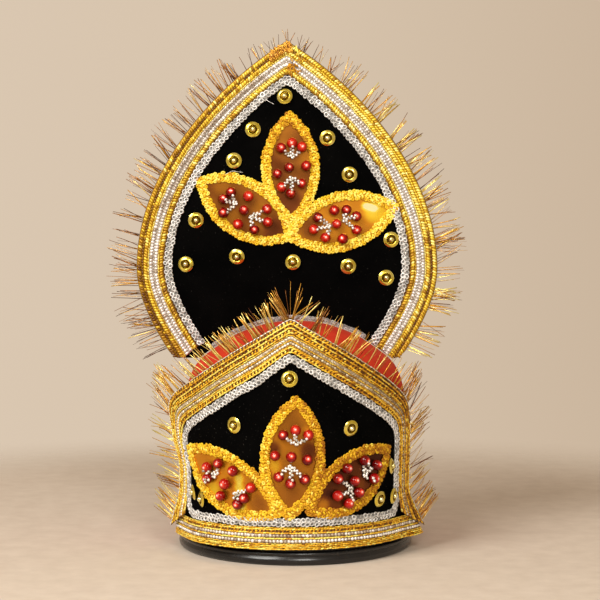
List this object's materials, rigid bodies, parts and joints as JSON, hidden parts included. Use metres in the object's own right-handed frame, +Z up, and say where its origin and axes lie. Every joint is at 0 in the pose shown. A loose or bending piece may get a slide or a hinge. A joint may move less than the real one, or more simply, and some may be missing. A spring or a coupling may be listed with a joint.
{
  "type": "costume crown on a ring stand",
  "caption": "Mukut-style costume crown on a black ring stand: red cloth cap, curved peaked front panel and tall pointed back plate in black velvet, with gold trim, fringe and beads.",
  "frame": {"origin": "on the surface the stand rests on, under the middle of the box round the whole crown", "axes": "+Z up, the peaked front panel faces -Y, +X to the right as seen from the front"},
  "size_m": [0.2484, 0.1946, 0.3681],
  "materials": {
    "black_plastic": "satin black plastic",
    "red_cloth": "plain red cloth",
    "velvet": "black velvet over card",
    "gold_trim": "gold metallic thread, with silver rows in the woven trim",
    "silver_trim": "silver metallic thread",
    "gold_film": "metallised gold film, with red glass beads on the petals"
  },
  "bodies": {
    "root": {"stand_ring": "black_plastic", "cap": "red_cloth", "front_panel": "velvet", "front_lace": "gold_trim", "front_base_lace": "gold_trim", "front_silver_braid": "silver_trim", "front_fringe": "gold_trim", "back_plate": "velvet", "back_lace": "gold_trim", "back_silver_braid": "silver_trim", "seam_braid": "silver_trim", "back_fringe": "gold_trim", "back_petal_braid": "gold_trim", "front_petal_braid": "gold_trim", "back_foil_left": "gold_film", "back_foil_centre": "gold_film", "back_foil_right": "gold_film", "front_foil_left": "gold_film", "front_foil_centre": "gold_film", "front_foil_right": "gold_film", "back_sequin_01": "gold_film", "back_sequin_02": "gold_film", "back_sequin_03": "gold_film", "back_sequin_04": "gold_film", "back_sequin_05": "gold_film", "back_sequin_06": "gold_film", "back_sequin_07": "gold_film", "back_sequin_08": "gold_film", "back_sequin_09": "gold_film", "back_sequin_10": "gold_film", "back_sequin_11": "gold_film", "back_sequin_12": "gold_film", "front_sequin_01": "gold_film", "front_sequin_02": "gold_film", "front_sequin_03": "gold_film", "front_sequin_04": "gold_film", "front_sequin_05": "gold_film", "front_sequin_06": "gold_film", "front_sequin_07": "gold_film", "front_sequin_08": "gold_film"}
  },
  "joints": []
}
